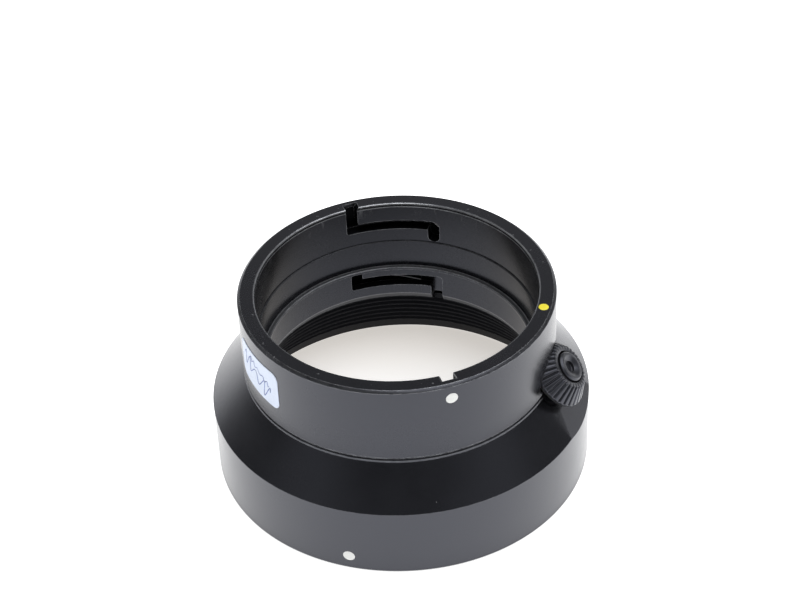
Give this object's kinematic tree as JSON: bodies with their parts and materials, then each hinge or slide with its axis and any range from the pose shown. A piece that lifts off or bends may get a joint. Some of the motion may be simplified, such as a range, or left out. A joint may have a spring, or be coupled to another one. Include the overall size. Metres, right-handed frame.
{
  "type": "lens hood",
  "caption": "Black metal lens hood with a bayonet collar, a conical shoulder down to a wide front skirt, a ribbed light trap inside and a tilted ribbed thumbwheel on the shoulder.",
  "frame": {"origin": "centre of the front rim's plane, on the surface the hood stands on", "axes": "+Z along the optical axis towards the lens; -Y towards the viewer; the thumbwheel is near +X"},
  "size_m": [0.0804, 0.0804, 0.0422],
  "materials": {
    "black_anodised": "satin black anodised",
    "matt_black": "matt black, light-absorbing",
    "bare_aluminium": "turned",
    "steel": "drawn spring steel and plain screws",
    "blackened_steel": "blackened, satin",
    "brass": "turned",
    "rubber": "matt",
    "white_enamel": "filled enamel",
    "yellow_enamel": "filled enamel",
    "label_paper": "coated paper with pen scribble"
  },
  "bodies": {
    "hood": {"lens_collar": "black_anodised", "reverse_ring": "black_anodised", "hood_shell": "black_anodised", "rib_baffle": "matt_black", "front_ring": "matt_black", "ring_screws": "steel", "thrust_washer": "brass", "pivot_screw": "blackened_steel", "rear_spring_wires": "steel", "front_spring_wires": "steel", "index_dot_collar": "white_enamel", "index_dot_skirt": "white_enamel", "index_dot_rim": "yellow_enamel", "paper_label": "label_paper"},
    "wheel": {"thumbwheel": "black_anodised", "tyre_hub": "bare_aluminium", "friction_tyre": "rubber", "wheel_bush": "brass", "wave_washer": "steel"}
  },
  "joints": [
    {"name": "wheel_spin", "type": "hinge", "parent": "hood", "child": "wheel", "pos_m": [0.03281, -0.01041, 0.02591], "axis": [0.7139, -0.2265, 0.6626], "continuous": true}
  ]
}
